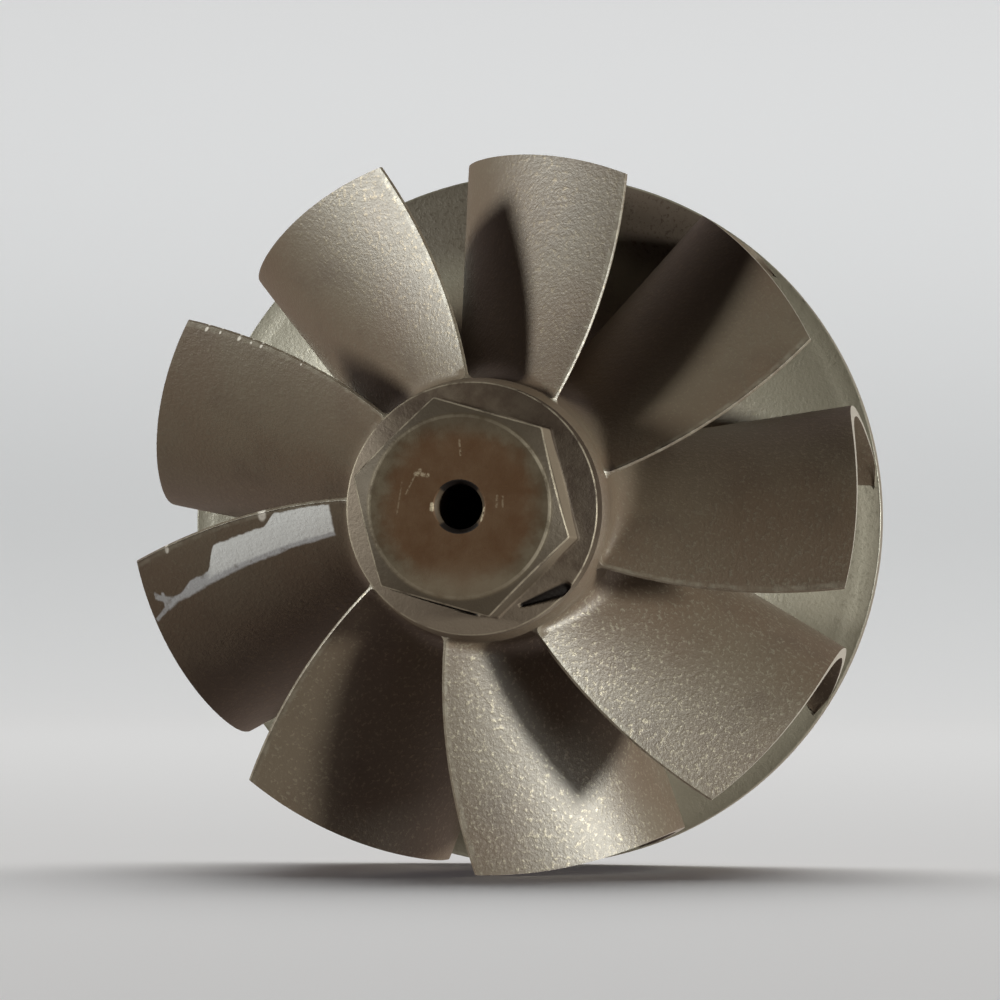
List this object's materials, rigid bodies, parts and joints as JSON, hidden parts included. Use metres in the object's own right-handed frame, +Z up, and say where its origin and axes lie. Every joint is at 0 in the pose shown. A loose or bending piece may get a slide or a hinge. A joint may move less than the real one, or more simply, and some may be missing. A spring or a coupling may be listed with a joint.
{
  "type": "turbocharger turbine wheel",
  "caption": "Cast radial turbine wheel with a full round back disc, curved blades, a round nose collar and a hexagon with a centre hole.",
  "frame": {"origin": "centre of the flat weld face at the back of the wheel, where the shaft is joined on", "axes": "+Y along the wheel's axis, out of the weld face; the nose with its hexagon points to -Y; +Z up with the wheel lying on its rim"},
  "size_m": [0.06, 0.0507, 0.0599],
  "materials": {
    "cast_alloy": "bare cast nickel alloy, blasted and browned by heat, with ground blade tips"
  },
  "bodies": {
    "root": {"turbine_wheel_casting": "cast_alloy"}
  },
  "joints": []
}
